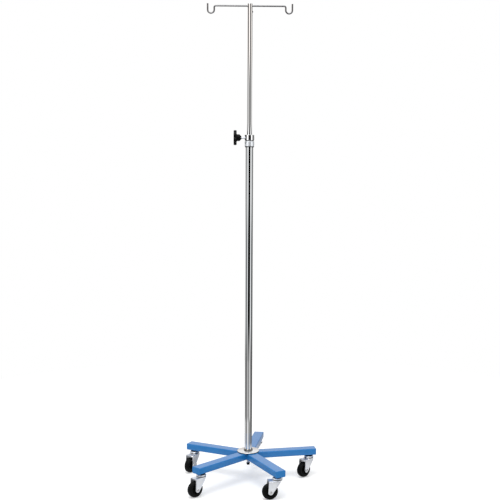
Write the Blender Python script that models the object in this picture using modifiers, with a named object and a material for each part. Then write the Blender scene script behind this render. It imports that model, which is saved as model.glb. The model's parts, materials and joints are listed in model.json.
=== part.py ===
"""Telescopic infusion stand: five-leg caster base, two-tube pole, clamp collar and twin-hook rod."""
import math

import bmesh
import bpy
from mathutils import Matrix, Vector

# Clearances and facets
GAP = 0.0003              # left between two pieces that touch
MERGE = 0.00001
FINE_STEPS = 24           # facets round a tube, flange or collar
ROUND_STEPS = 20          # facets round a wheel or a crown
SMALL_STEPS = 12          # facets round a stem, boss or bore
PIN_STEPS = 12            # facets round an axle or a screw
BEND_STEPS = 2            # facets along a bend in sheet metal
HOOK_STEPS = 3            # facets along a quarter bend of the rod
BARREL_STEPS = 4          # facets along the sleeve's swell
CORNER_STEPS = 2          # facets along a leg's rounded corner

# Base
LEG_COUNT = 5
BASE_TURN = math.radians(8.3)
LEG_REACH = 0.270         # pole axis to the end of a leg
LEG_WIDTH = 0.040
LEG_HEIGHT = 0.021
LEG_WALL = 0.0015
LEG_CORNER = 0.0030
CAP_PLATE = 0.0020
CAP_SPIGOT = 0.0060
HUB_DIAMETER = 0.034

# Casters
CASTER_INSET = 0.026      # swivel axis to the end of the leg
CASTER_TRAIL = 0.028
TRAIL_HEADINGS = (221, 190, 237, 220, 190)
WHEEL_DIAMETER = 0.060
WHEEL_WIDTH = 0.022
TYRE_DEPTH = 0.0085
TYRE_SHOULDER = 0.0045
RIM_DEPTH = 0.0035
RIM_INSET = 0.0020        # rim edge behind the tyre's side
WEB_THICKNESS = 0.007
WHEEL_HUB_DIAMETER = 0.017
WHEEL_SIDE_GAP = 0.0030   # tyre to fork plate
HUB_SIDE_GAP = 0.0005
AXLE_DIAMETER = 0.008
AXLE_HEAD_DIAMETER = 0.0125
AXLE_HEAD_HEIGHT = 0.0028
FORK_PLATE = 0.0025
FORK_BEND = 0.0045
FORK_END_RADIUS = 0.0090
FORK_FRONT = 0.0070       # top front corner ahead of the axle
FORK_BACK = 0.0100        # top rear corner behind the swivel axis
WHEEL_TO_CROWN = 0.0095
CROWN_DIAMETER = 0.037
LOWER_RACE_DIAMETER = 0.030
LOWER_RACE_HEIGHT = 0.0022
UPPER_RACE_DIAMETER = 0.038
UPPER_RACE_HEIGHT = 0.0065
RACE_EDGE = 0.0020
SEAL_DIAMETER = 0.030
SEAL_HEIGHT = 0.0038
KINGPIN_DIAMETER = 0.010
RIVET_DIAMETER = 0.016
RIVET_HEIGHT = 0.0028
STEM_DIAMETER = 0.011
STEM_END_ROOM = 0.003     # stem top to the inside of the leg
SOCKET_DIAMETER = 0.025
SOCKET_DROP = 0.0052
SOCKET_SPIGOT = 0.018
SOCKET_EDGE = 0.0012

# Pole
LOWER_TUBE_DIAMETER = 0.0286
LOWER_TUBE_WALL = 0.0015
LOWER_TUBE_LENGTH = 1.2340
UPPER_TUBE_DIAMETER = 0.01905
UPPER_TUBE_WALL = 0.0012
UPPER_TUBE_LENGTH = 0.950
UPPER_TUBE_OUT = 0.4910   # upper tube standing above the collar
FLANGE_DIAMETER = 0.086
FLANGE_EDGE = 0.0032
FLANGE_RISE = 0.0016      # dish of the flange from rim to neck
NECK_WALL = 0.0030
NECK_HEIGHT = 0.0045
PLUG_LENGTH = 0.040
TIE_DIAMETER = 0.010
TIE_DROP = 0.031          # tie stud below the legs
TIE_REACH = 0.030         # tie stud inside the foot plug
WASHER_DIAMETER = 0.024
WASHER_THICKNESS = 0.0020
NUT_FLATS = 0.017
NUT_HEIGHT = 0.0080
TIE_CAP_WALL = 0.0015
TIE_CAP_HEIGHT = 0.010
TIE_CAP_FLOOR = 0.0020

# Clamp
COLLAR_WALL = 0.0034      # round the lower tube
COLLAR_HEIGHT = 0.0225
COLLAR_LIP = 0.0020
COLLAR_EDGE = 0.0010
SLEEVE_HEIGHT = 0.0255
SLEEVE_BULGE = 0.0010
GUIDE_LENGTH = 0.045
CLAMP_STUD_DIAMETER = 0.008
CLAMP_DROP = 0.0120       # collar top to the clamp axis
CLAMP_NECK = 0.0130       # stud showing between collar and knob
PAD_INSET = 0.0005        # pad edge inside the stud's
PAD_LENGTH = 0.0045
KNOB_DIAMETER = 0.057
KNOB_LOBES = 6
KNOB_LOBE_DEPTH = 0.0048
KNOB_THICKNESS = 0.0115
KNOB_EDGE = 0.0030
KNOB_HUB_DIAMETER = 0.026
KNOB_HUB_LENGTH = 0.0115
KNOB_CONE_LENGTH = 0.0065
KNOB_NOSE_DIAMETER = 0.0125
KNOB_FACE = 0.0035        # left in front of the stud
SLIDE_BUSH_LENGTH = 0.012
SLIDE_SPIGOT = 0.020

# Hook rod
HOOK_TURN = math.radians(-4.0)
HOOK_ROD_DIAMETER = 0.006
HOOK_BAR_DROP = 0.0070    # top of the pole to the rod
HOOK_REACH = 0.1480       # pole axis to the middle of a hook
HOOK_RADIUS = 0.0125
HOOK_DEPTH = 0.0275
HOOK_TIP = 0.0084
HOOK_BEND = 0.006
TOP_PLUG_HEAD = 0.0012
SET_SCREW_DIAMETER = 0.006
SET_SCREW_DROP = 0.0212   # below the rod
SET_SCREW_PROUD = 0.0020
SET_SCREW_DEPTH = 0.0050
TOP_PLUG_TAIL = 0.0045    # plug below the set screw

# Heights, from the floor up
axle_z = WHEEL_DIAMETER / 2
crown_under = WHEEL_DIAMETER + WHEEL_TO_CROWN
crown_top = crown_under + FORK_PLATE
race_under = crown_top + LOWER_RACE_HEIGHT + GAP
race_top = race_under + UPPER_RACE_HEIGHT
seal_top = race_top + SEAL_HEIGHT
socket_under = seal_top + GAP
leg_under = socket_under + SOCKET_DROP + GAP
leg_top = leg_under + LEG_HEIGHT
flange_under = leg_top + GAP
pole_foot = leg_top + GAP
lower_top = pole_foot + LOWER_TUBE_LENGTH
collar_top = lower_top + GAP + COLLAR_LIP
collar_under = collar_top - COLLAR_HEIGHT
clamp_z = collar_top - CLAMP_DROP
sleeve_top = collar_under - GAP
sleeve_under = sleeve_top - SLEEVE_HEIGHT
upper_top = collar_top + UPPER_TUBE_OUT
upper_foot = upper_top - UPPER_TUBE_LENGTH
bar_z = upper_top - HOOK_BAR_DROP

# Radii and widths that several pieces share
lower_radius = LOWER_TUBE_DIAMETER / 2
lower_bore = lower_radius - LOWER_TUBE_WALL
collar_radius = lower_radius + GAP + COLLAR_WALL
upper_radius = UPPER_TUBE_DIAMETER / 2
upper_bore = upper_radius - UPPER_TUBE_WALL
tie_hole = TIE_DIAMETER / 2 + GAP
clamp_hole = CLAMP_STUD_DIAMETER / 2 + GAP
caster_radius = LEG_REACH - CASTER_INSET
fork_inner = WHEEL_WIDTH / 2 + WHEEL_SIDE_GAP
fork_outer = fork_inner + FORK_PLATE
tyre_bore = WHEEL_DIAMETER / 2 - TYRE_DEPTH
axle_hole = AXLE_DIAMETER / 2 + GAP
leg_inner_corner = max(LEG_CORNER - LEG_WALL, LEG_CORNER / 4)

PARTS = "infusion_stand"
CUTTERS = "infusion_stand_cutters"


def clear_scene():
    for old in list(bpy.data.objects):
        bpy.data.objects.remove(old, do_unlink=True)


def add_collection(name):
    made = bpy.data.collections.new(name)
    bpy.context.scene.collection.children.link(made)
    return made


def finish(name, colour, roughness, metallic):
    made = bpy.data.materials.new(name)
    made.use_nodes = True
    shader = made.node_tree.nodes["Principled BSDF"]
    shader.inputs["Base Color"].default_value = (*colour, 1.0)
    shader.inputs["Roughness"].default_value = roughness
    shader.inputs["Metallic"].default_value = metallic
    return made


def add_part(name, mesh, material, parent=None, matrix=None):
    part = bpy.data.objects.new(name, mesh)
    mesh.materials.clear()
    mesh.materials.append(material)
    parts.objects.link(part)
    part.parent = parent
    if matrix is not None:
        part.matrix_local = matrix
    return part


def add_empty(name, matrix, parent=None):
    empty = bpy.data.objects.new(name, None)
    empty.empty_display_size = 0.02
    parts.objects.link(empty)
    empty.parent = parent
    empty.matrix_local = matrix
    return empty


def add_cutter(name, mesh):
    cutter = bpy.data.objects.new(name, mesh)
    cutter.hide_render = True
    cutter.display_type = "WIRE"
    cutters.objects.link(cutter)
    return cutter


def shape_with(target, cutter, operation="DIFFERENCE"):
    step = target.modifiers.new(cutter.name, "BOOLEAN")
    step.operation = operation
    step.object = cutter
    return target


def smooth(mesh, angle=30):
    mesh.shade_smooth()
    mesh.set_sharp_from_angle(angle=math.radians(angle))
    return mesh


def baked(source):
    bpy.context.view_layer.update()
    view = bpy.context.evaluated_depsgraph_get()
    mesh = bpy.data.meshes.new_from_object(source.evaluated_get(view))
    shape = bmesh.new()
    shape.from_mesh(mesh)
    bmesh.ops.remove_doubles(shape, verts=shape.verts, dist=MERGE)
    shape.to_mesh(mesh)
    shape.free()
    return smooth(mesh)


def baked_and_removed(source, helpers=()):
    mesh = baked(source)
    for old in (source, *helpers):
        bpy.data.objects.remove(old, do_unlink=True)
    return mesh


def profile_mesh(name, profile):
    """A profile that starts on the axis stays open; any other is closed into a ring."""
    mesh = bpy.data.meshes.new(name)
    shape = bmesh.new()
    points = [shape.verts.new((radius, 0.0, height)) for radius, height in profile]
    ends = points[1:] if profile[0][0] == 0.0 else points[1:] + points[:1]
    for first, second in zip(points, ends):
        shape.edges.new((first, second))
    shape.to_mesh(mesh)
    shape.free()
    return mesh


def turn(part, steps):
    screw = part.modifiers.new("turn", "SCREW")
    screw.axis = "Z"
    screw.steps = steps
    screw.render_steps = steps
    screw.use_merge_vertices = True
    screw.merge_threshold = MERGE
    return part


def turned_part(name, profile, material, steps, parent=None, matrix=None):
    return turn(add_part(name, profile_mesh(name, profile), material, parent, matrix), steps)


def turned_cutter(name, profile, steps):
    return turn(add_cutter(name, profile_mesh(name, profile)), steps)


def rod_mesh(radius, start, end, steps=SMALL_STEPS):
    """A straight round bar between two points."""
    span = Vector(end) - Vector(start)
    middle = (Vector(start) + Vector(end)) / 2
    heading = span.to_track_quat("Z", "Y").to_matrix().to_4x4()
    mesh = bpy.data.meshes.new("rod")
    shape = bmesh.new()
    bmesh.ops.create_cone(shape, cap_ends=True, segments=steps, radius1=radius, radius2=radius,
                          depth=span.length, matrix=Matrix.Translation(middle) @ heading)
    shape.to_mesh(mesh)
    shape.free()
    return mesh


def bar_mesh(start, end, width, low, high, corner):
    """A bar along X with its four long edges rounded."""
    size = Matrix.Diagonal((end - start, width, high - low, 1.0))
    middle = Matrix.Translation(((start + end) / 2, 0.0, (low + high) / 2))
    mesh = bpy.data.meshes.new("bar")
    shape = bmesh.new()
    bmesh.ops.create_cube(shape, matrix=middle @ size)
    long_edges = [edge for edge in shape.edges if abs(edge.verts[0].co.x - edge.verts[1].co.x) > MERGE]
    bmesh.ops.bevel(shape, geom=long_edges, offset=corner, segments=CORNER_STEPS, profile=0.5,
                    affect="EDGES")
    shape.to_mesh(mesh)
    shape.free()
    return mesh


def outline_mesh(outline, thickness, edge=0.0):
    """A flat outline in X and Y, thickened evenly about Z, with an optional rounded edge."""
    curve = bpy.data.curves.new("outline", "CURVE")
    curve.dimensions = "2D"
    curve.fill_mode = "BOTH"
    curve.extrude = thickness / 2 - edge
    curve.bevel_depth = edge
    curve.bevel_resolution = 1
    curve.offset = -edge
    spline = curve.splines.new("POLY")
    spline.points.add(len(outline) - 1)
    for point, (x, y) in zip(spline.points, outline):
        point.co = (x, y, 0.0, 1.0)
    spline.use_cyclic_u = True
    holder = bpy.data.objects.new("outline", curve)
    cutters.objects.link(holder)
    return baked_and_removed(holder)


def arc(centre, radius, start, end, steps=BEND_STEPS):
    """Points from one angle to another, in degrees, both ends included."""
    angles = [math.radians(start + (end - start) * step / steps) for step in range(steps + 1)]
    return [(centre[0] + radius * math.cos(a), centre[1] + radius * math.sin(a)) for a in angles]


def tangent_angle(point, centre, radius, side):
    """Where a line from point touches a circle, as an angle in degrees about its centre."""
    away = math.atan2(point[1] - centre[1], point[0] - centre[0])
    reach = math.hypot(point[0] - centre[0], point[1] - centre[1])
    return math.degrees(away + side * math.acos(radius / reach))


def leg_turn(number):
    return BASE_TURN + number * 2 * math.pi / LEG_COUNT


def make_leg_mesh():
    leg_end = LEG_REACH - CAP_PLATE - GAP
    past = LEG_REACH + CAP_PLATE
    leg = add_part("leg_pattern", bar_mesh(0.0, leg_end, LEG_WIDTH, leg_under, leg_top, LEG_CORNER), blue)
    hollow = bar_mesh(-LEG_WIDTH, past, LEG_WIDTH - 2 * LEG_WALL, leg_under + LEG_WALL, leg_top - LEG_WALL,
                      leg_inner_corner)
    inside = add_cutter("leg_inside", hollow)
    half_angle = math.pi / LEG_COUNT
    tip = GAP / 2 / math.sin(half_angle)
    spread = past * math.tan(half_angle)
    wedge = outline_mesh(((tip, 0.0), (tip + past, -spread), (tip + past, spread)), 4 * leg_top)
    mitre = add_cutter("leg_mitre", wedge)
    below = leg_under - LEG_WALL
    above = leg_top + LEG_WALL
    core = add_cutter("leg_core", rod_mesh(HUB_DIAMETER / 2 + GAP, (0, 0, below), (0, 0, above), ROUND_STEPS))
    hole = add_cutter("leg_hole", rod_mesh(SOCKET_SPIGOT / 2 + GAP, (caster_radius, 0, below),
                                           (caster_radius, 0, leg_under + 2 * LEG_WALL)))
    shape_with(leg, inside)
    shape_with(leg, mitre, "INTERSECT")
    shape_with(leg, core)
    shape_with(leg, hole)
    return baked_and_removed(leg, (inside, mitre, core, hole))


def make_cap_mesh():
    plate_start = LEG_REACH - CAP_PLATE
    inset = LEG_WALL + GAP
    plate = bar_mesh(plate_start, LEG_REACH, LEG_WIDTH, leg_under, leg_top, LEG_CORNER)
    cap = add_part("cap_pattern", plate, blue)
    spigot = add_cutter("cap_spigot", bar_mesh(plate_start - CAP_SPIGOT, plate_start + CAP_PLATE / 2,
                                               LEG_WIDTH - 2 * inset, leg_under + inset, leg_top - inset,
                                               leg_inner_corner))
    shape_with(cap, spigot, "UNION")
    return baked_and_removed(cap, (spigot,))


def make_fork_mesh():
    """A pressed fork: a bent channel trimmed to its side outline, with a round crown on top."""
    low = axle_z - 2 * FORK_END_RADIUS
    inner_bend = FORK_BEND - FORK_PLATE
    channel = [(fork_outer, low)]
    channel += arc((fork_outer - FORK_BEND, crown_top - FORK_BEND), FORK_BEND, 0, 90)
    channel += arc((FORK_BEND - fork_outer, crown_top - FORK_BEND), FORK_BEND, 90, 180)
    channel += [(-fork_outer, low), (-fork_inner, low)]
    channel += arc((FORK_BEND - fork_outer, crown_top - FORK_BEND), inner_bend, 180, 90)
    channel += arc((fork_outer - FORK_BEND, crown_top - FORK_BEND), inner_bend, 90, 0)
    channel += [(fork_inner, low)]
    front = CASTER_TRAIL + FORK_FRONT
    length = 2 * (front + CROWN_DIAMETER)
    fork = add_part("fork_pattern", outline_mesh(channel, length), zinc)
    fork.data.transform(Matrix(((0, 0, 1, 0), (1, 0, 0, 0), (0, 1, 0, 0), (0, 0, 0, 1))))

    axle = (CASTER_TRAIL, axle_z)
    above = crown_top + FORK_PLATE
    front_touch = tangent_angle((front, crown_top), axle, FORK_END_RADIUS, -1)
    back_touch = tangent_angle((-FORK_BACK, crown_under), axle, FORK_END_RADIUS, 1)
    side = [(-FORK_BACK, crown_under), (-FORK_BACK, above), (front, above), (front, crown_top)]
    side += arc(axle, FORK_END_RADIUS, front_touch, back_touch - 360, 3 * BEND_STEPS)
    trim = add_cutter("fork_side", outline_mesh(side, 4 * fork_outer))
    trim.data.transform(Matrix.Rotation(math.radians(90), 4, "X"))
    shape_with(fork, trim, "INTERSECT")

    crown_radius = CROWN_DIAMETER / 2
    race_radius = LOWER_RACE_DIAMETER / 2
    skin = FORK_PLATE / 10
    race_top_z = crown_top + LOWER_RACE_HEIGHT
    crown = turned_cutter("fork_crown", [
        (0.0, race_top_z), (race_radius - LOWER_RACE_HEIGHT, race_top_z), (race_radius, crown_top + skin),
        (crown_radius - skin, crown_top + skin), (crown_radius, crown_top - skin),
        (crown_radius, crown_under + skin), (0.0, crown_under + skin)], ROUND_STEPS)
    kingpin_hole = rod_mesh(KINGPIN_DIAMETER / 2 + GAP, (0, 0, axle_z), (0, 0, race_top))
    kingpin = add_cutter("fork_kingpin", kingpin_hole)
    pin = add_cutter("fork_axle", rod_mesh(axle_hole, (CASTER_TRAIL, -2 * fork_outer, axle_z),
                                           (CASTER_TRAIL, 2 * fork_outer, axle_z), PIN_STEPS))
    shape_with(fork, crown, "UNION")
    shape_with(fork, kingpin)
    shape_with(fork, pin)
    return baked_and_removed(fork, (trim, crown, kingpin, pin))


def socket_profile():
    bore = STEM_DIAMETER / 2 + GAP
    spigot = SOCKET_SPIGOT / 2
    boss = SOCKET_DIAMETER / 2
    boss_top = leg_under - GAP
    return [(bore, leg_top - LEG_WALL - GAP), (spigot, leg_top - LEG_WALL - GAP), (spigot, boss_top),
            (boss, boss_top), (boss, socket_under + SOCKET_EDGE), (boss - SOCKET_EDGE, socket_under),
            (bore, socket_under)]


def stem_profile():
    stem = STEM_DIAMETER / 2
    stem_top = leg_top - LEG_WALL - STEM_END_ROOM
    race = UPPER_RACE_DIAMETER / 2
    seal = SEAL_DIAMETER / 2
    kingpin = KINGPIN_DIAMETER / 2
    rivet = RIVET_DIAMETER / 2
    rivet_top = crown_under - GAP
    rivet_edge = RIVET_HEIGHT / 2
    points = [(0.0, stem_top), (stem, stem_top), (stem, seal_top), (seal, seal_top), (seal, race_top)]
    points += arc((race - RACE_EDGE, race_top - RACE_EDGE), RACE_EDGE, 90, 0, 2)
    points += [(race, race_under), (kingpin, race_under), (kingpin, rivet_top), (rivet, rivet_top),
               (rivet, rivet_top - rivet_edge), (rivet - rivet_edge, rivet_top - RIVET_HEIGHT),
               (0.0, rivet_top - RIVET_HEIGHT)]
    return points


def tyre_profile():
    tread = WHEEL_DIAMETER / 2
    side = WHEEL_WIDTH / 2
    points = [(tyre_bore, side)]
    points += arc((tread - TYRE_SHOULDER, side - TYRE_SHOULDER), TYRE_SHOULDER, 90, 0, 2)
    points += arc((tread - TYRE_SHOULDER, TYRE_SHOULDER - side), TYRE_SHOULDER, 0, -90, 2)
    points += [(tyre_bore, -side)]
    return points


def wheel_core_profile():
    rim = tyre_bore - GAP
    rim_inner = rim - RIM_DEPTH
    rim_side = WHEEL_WIDTH / 2 - RIM_INSET
    hub = WHEEL_HUB_DIAMETER / 2
    hub_side = fork_inner - HUB_SIDE_GAP
    web = WEB_THICKNESS / 2
    upper = [(axle_hole, hub_side), (hub, hub_side), (hub, web), (rim_inner, web), (rim_inner, rim_side),
             (rim, rim_side)]
    return upper + [(radius, -height) for radius, height in reversed(upper)]


def axle_profile():
    shank = AXLE_DIAMETER / 2
    head = AXLE_HEAD_DIAMETER / 2
    seat = fork_outer + GAP
    outer = seat + AXLE_HEAD_HEIGHT
    edge = AXLE_HEAD_HEIGHT / 2
    upper = [(0.0, outer), (head - edge, outer), (head, seat), (shank, seat)]
    return upper + [(radius, -height) for radius, height in reversed(upper)]


def make_casters(leg_mesh, cap_mesh, fork_mesh):
    lying = Matrix.Rotation(math.radians(90), 4, "X")
    for number in range(LEG_COUNT):
        tag = number + 1
        leg_axis = add_empty(f"leg_axis_{tag}", Matrix.Rotation(leg_turn(number), 4, "Z"))
        add_part(f"leg_{tag}", leg_mesh, blue, leg_axis)
        add_part(f"leg_end_cap_{tag}", cap_mesh, blue, leg_axis)
        seat = Matrix.Translation((caster_radius, 0, 0))
        turned_part(f"caster_socket_{tag}", socket_profile(), blue, SMALL_STEPS, leg_axis, seat)
        turned_part(f"caster_stem_{tag}", stem_profile(), zinc, SMALL_STEPS, leg_axis, seat)

        heading = Matrix.Rotation(math.radians(TRAIL_HEADINGS[number]) - leg_turn(number), 4, "Z")
        swivel = add_empty(f"caster_swivel_{tag}", seat @ heading, leg_axis)
        add_part(f"caster_fork_{tag}", fork_mesh, zinc, swivel)
        spin = add_empty(f"wheel_spin_{tag}", Matrix.Translation((CASTER_TRAIL, 0, axle_z)) @ lying, swivel)
        turned_part(f"caster_axle_{tag}", axle_profile(), zinc, PIN_STEPS, spin)
        turned_part(f"wheel_core_{tag}", wheel_core_profile(), black, SMALL_STEPS, spin)
        turned_part(f"wheel_tyre_{tag}", tyre_profile(), rubber, ROUND_STEPS, spin)


def make_foot():
    hub = HUB_DIAMETER / 2
    turned_part("base_hub", [(tie_hole, leg_top), (hub, leg_top), (hub, leg_under), (tie_hole, leg_under)],
                blue, ROUND_STEPS)

    bore = lower_radius + GAP
    neck = bore + NECK_WALL
    rim = FLANGE_DIAMETER / 2
    rim_top = flange_under + FLANGE_EDGE
    dish_top = rim_top + FLANGE_RISE
    neck_top = dish_top + NECK_HEIGHT
    edge = FLANGE_EDGE / 2
    profile = [(bore, neck_top), (neck - NECK_WALL / 2, neck_top), (neck, neck_top - NECK_WALL / 2),
               (neck, dish_top)]
    profile += arc((rim - edge, flange_under + edge), edge, 90, -90, 4)
    profile += [(bore, flange_under)]
    turned_part("pole_flange", profile, chrome, FINE_STEPS)

    plug = lower_bore - GAP
    turned_part("pole_foot_plug", [(tie_hole, pole_foot + PLUG_LENGTH), (plug, pole_foot + PLUG_LENGTH),
                                   (plug, pole_foot), (tie_hole, pole_foot)], steel, ROUND_STEPS)

    tie = TIE_DIAMETER / 2
    tie_under = leg_under - TIE_DROP
    tie_top = pole_foot + TIE_REACH
    chamfer = TIE_DIAMETER / 10
    turned_part("tie_stud", [(0.0, tie_top), (tie - chamfer, tie_top), (tie, tie_top - chamfer),
                             (tie, tie_under + chamfer), (tie - chamfer, tie_under), (0.0, tie_under)],
                steel, SMALL_STEPS)

    washer_top = leg_under - GAP
    washer_under = washer_top - WASHER_THICKNESS
    washer = WASHER_DIAMETER / 2
    turned_part("tie_washer", [(tie_hole, washer_top), (washer, washer_top), (washer, washer_under),
                               (tie_hole, washer_under)], zinc, SMALL_STEPS)

    nut_top = washer_under - GAP
    nut_corner = NUT_FLATS / 2 / math.cos(math.pi / 6)
    nut_mesh = rod_mesh(nut_corner, (0, 0, nut_top - NUT_HEIGHT), (0, 0, nut_top), 6)
    nut = add_part("tie_nut", nut_mesh, zinc)
    shape_with(nut, add_cutter("nut_bore", rod_mesh(tie_hole, (0, 0, tie_under), (0, 0, tie_top))))

    cap = tie_hole + TIE_CAP_WALL
    cap_edge = TIE_CAP_WALL / 2
    cap_under = tie_under - GAP - TIE_CAP_FLOOR
    cap_top = cap_under + TIE_CAP_HEIGHT
    turned_part("tie_end_cap", [
        (0.0, tie_under - GAP), (tie_hole, tie_under - GAP), (tie_hole, cap_top),
        (cap - cap_edge, cap_top), (cap, cap_top - cap_edge), (cap, cap_under + cap_edge),
        (cap - cap_edge, cap_under), (0.0, cap_under)], rubber, SMALL_STEPS)


def make_lower_pole():
    clamp_hole_mesh = rod_mesh(clamp_hole, (0, 0, clamp_z), (-2 * collar_radius, 0, clamp_z))
    clamp_bore = add_cutter("clamp_bore", clamp_hole_mesh)
    tube = turned_part("lower_tube", [
        (lower_bore, lower_top), (lower_radius, lower_top), (lower_radius, pole_foot),
        (lower_bore, pole_foot)], chrome, FINE_STEPS)
    shape_with(tube, clamp_bore)

    seat = lower_radius + GAP
    mouth = upper_radius + 2 * GAP
    ring = turned_part("clamp_collar", [
        (mouth, collar_top), (collar_radius - COLLAR_EDGE, collar_top),
        (collar_radius, collar_top - COLLAR_EDGE), (collar_radius, collar_under), (seat, collar_under),
        (seat, lower_top + GAP), (mouth, lower_top + GAP)], chrome, FINE_STEPS)
    shape_with(ring, clamp_bore)

    waist = collar_radius - SLEEVE_BULGE
    barrel = []
    for step in range(BARREL_STEPS + 1):
        along = step / BARREL_STEPS
        swell = SLEEVE_BULGE * math.sin(math.pi * along)
        barrel.append((waist + swell, sleeve_top - along * SLEEVE_HEIGHT))
    turned_part("collar_sleeve", [(seat, sleeve_top), *barrel, (seat, sleeve_under)], chrome, FINE_STEPS)

    guide = lower_bore - GAP
    guide_bore = upper_radius + GAP
    guide_under = lower_top - GUIDE_LENGTH
    bush = turned_part("guide_bush", [
        (guide_bore, lower_top), (guide, lower_top), (guide, guide_under), (guide_bore, guide_under)],
        nylon, FINE_STEPS)
    shape_with(bush, clamp_bore)


def knob_outline():
    """Rounded lobes: the radius swells and falls once for each lobe."""
    points_per_lobe = 6
    count = KNOB_LOBES * points_per_lobe
    middle = (KNOB_DIAMETER - KNOB_LOBE_DEPTH) / 2
    swing = KNOB_LOBE_DEPTH / 2
    angles = [2 * math.pi * step / count for step in range(count)]
    radii = [middle + swing * math.cos(KNOB_LOBES * a) for a in angles]
    return [(r * math.cos(a), r * math.sin(a)) for r, a in zip(radii, angles)]


def make_clamp():
    """Clamp pieces lie along the local Z of an empty that points away from the pole."""
    heading = Matrix.Rotation(math.radians(-90), 4, "Y")
    axis = add_empty("clamp_axis", Matrix.Translation((0, 0, clamp_z)) @ heading)
    pad_start = upper_radius + GAP
    pad_end = pad_start + PAD_LENGTH
    pad = CLAMP_STUD_DIAMETER / 2 - PAD_INSET
    turned_part("clamp_pad", [(0.0, pad_end), (pad, pad_end), (pad, pad_start), (0.0, pad_start)],
                nylon, SMALL_STEPS, axis)

    nose = collar_radius + CLAMP_NECK
    hub_start = nose + KNOB_CONE_LENGTH
    disc_start = hub_start + KNOB_HUB_LENGTH
    knob_end = disc_start + KNOB_THICKNESS
    stud_end = knob_end - KNOB_FACE - GAP
    stud_start = pad_end + GAP
    stud = CLAMP_STUD_DIAMETER / 2
    chamfer = CLAMP_STUD_DIAMETER / 10
    turned_part("clamp_stud", [
        (0.0, stud_end), (stud - chamfer, stud_end), (stud, stud_end - chamfer), (stud, stud_start + chamfer),
        (stud - chamfer, stud_start), (0.0, stud_start)], zinc, SMALL_STEPS, axis)

    disc = outline_mesh(knob_outline(), KNOB_THICKNESS, KNOB_EDGE)
    disc.transform(Matrix.Translation((0, 0, disc_start + KNOB_THICKNESS / 2)))
    pattern = add_part("knob_pattern", disc, black)
    hub = KNOB_HUB_DIAMETER / 2
    tip = KNOB_NOSE_DIAMETER / 2
    inside = disc_start + KNOB_THICKNESS / 2
    boss = turned_cutter("knob_boss", [
        (0.0, inside), (hub, inside), (hub, hub_start), (tip, nose), (0.0, nose)], ROUND_STEPS)
    bore = add_cutter("knob_bore", rod_mesh(clamp_hole, (0, 0, 0), (0, 0, knob_end - KNOB_FACE)))
    shape_with(pattern, boss, "UNION")
    shape_with(pattern, bore)
    add_part("clamp_knob", baked_and_removed(pattern, (boss, bore)), black, axis)


def hook_path():
    """Rod from the middle of the bar out to one hook tip, in X and Z."""
    inner = HOOK_REACH - HOOK_RADIUS
    u_centre = (HOOK_REACH, bar_z - HOOK_DEPTH + HOOK_RADIUS)
    path = arc((inner - HOOK_BEND, bar_z - HOOK_BEND), HOOK_BEND, 90, 0, HOOK_STEPS)
    path += arc(u_centre, HOOK_RADIUS, 180, 360, 4 * HOOK_STEPS)
    path += [(HOOK_REACH + HOOK_RADIUS, bar_z + HOOK_TIP)]
    return path


def make_upper_pole():
    spin = add_empty("upper_axis", Matrix.Rotation(HOOK_TURN, 4, "Z"))
    reach = 2 * UPPER_TUBE_DIAMETER
    rod_bore = rod_mesh(HOOK_ROD_DIAMETER / 2 + GAP, (-reach, 0, bar_z), (reach, 0, bar_z))
    screw_z = bar_z - SET_SCREW_DROP
    screw_radius = SET_SCREW_DIAMETER / 2
    screw_in = upper_radius - SET_SCREW_DEPTH
    screw_out = upper_radius + SET_SCREW_PROUD
    screw_bore = rod_mesh(screw_radius + GAP, (screw_in - GAP, 0, screw_z), (reach, 0, screw_z))
    rod_bore.transform(Matrix.Rotation(HOOK_TURN, 4, "Z"))
    screw_bore.transform(Matrix.Rotation(HOOK_TURN, 4, "Z"))
    rod_cutter = add_cutter("rod_bore", rod_bore)
    screw_cutter = add_cutter("set_screw_bore", screw_bore)

    tube = turned_part("upper_tube", [
        (upper_bore, upper_top), (upper_radius, upper_top), (upper_radius, upper_foot),
        (upper_bore, upper_foot)], chrome, FINE_STEPS, spin)
    plug = upper_bore - GAP
    head_under = upper_top + GAP
    head_top = head_under + TOP_PLUG_HEAD
    head_edge = TOP_PLUG_HEAD / 2
    plug_under = screw_z - TOP_PLUG_TAIL
    top_plug = turned_part("top_plug", [
        (0.0, head_top), (upper_radius - head_edge, head_top), (upper_radius, head_top - head_edge),
        (upper_radius, head_under), (plug, head_under), (plug, plug_under), (0.0, plug_under)],
        steel, FINE_STEPS, spin)
    for piece in (tube, top_plug):
        shape_with(piece, rod_cutter)
        shape_with(piece, screw_cutter)

    screw = rod_mesh(screw_radius, (screw_in, 0, screw_z), (screw_out, 0, screw_z), PIN_STEPS)
    add_part("hook_set_screw", smooth(screw), black, spin)

    foot = lower_bore - GAP
    spigot = upper_bore - GAP
    bush_top = upper_foot - GAP
    bush_under = bush_top - SLIDE_BUSH_LENGTH
    spigot_top = upper_foot + SLIDE_SPIGOT
    turned_part("slide_bush", [
        (0.0, spigot_top), (spigot, spigot_top), (spigot, bush_top), (foot, bush_top), (foot, bush_under),
        (0.0, bush_under)], nylon, FINE_STEPS)

    half = hook_path()
    path = [(-x, z) for x, z in reversed(half)] + half
    curve = bpy.data.curves.new("hook_rod", "CURVE")
    curve.dimensions = "3D"
    curve.bevel_depth = HOOK_ROD_DIAMETER / 2
    curve.bevel_resolution = 3
    curve.use_fill_caps = True
    spline = curve.splines.new("POLY")
    spline.points.add(len(path) - 1)
    for point, (x, z) in zip(spline.points, path):
        point.co = (x, 0.0, z, 1.0)
    holder = bpy.data.objects.new("hook_path", curve)
    cutters.objects.link(holder)
    add_part("hook_rod", baked_and_removed(holder), chrome, spin)


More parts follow.
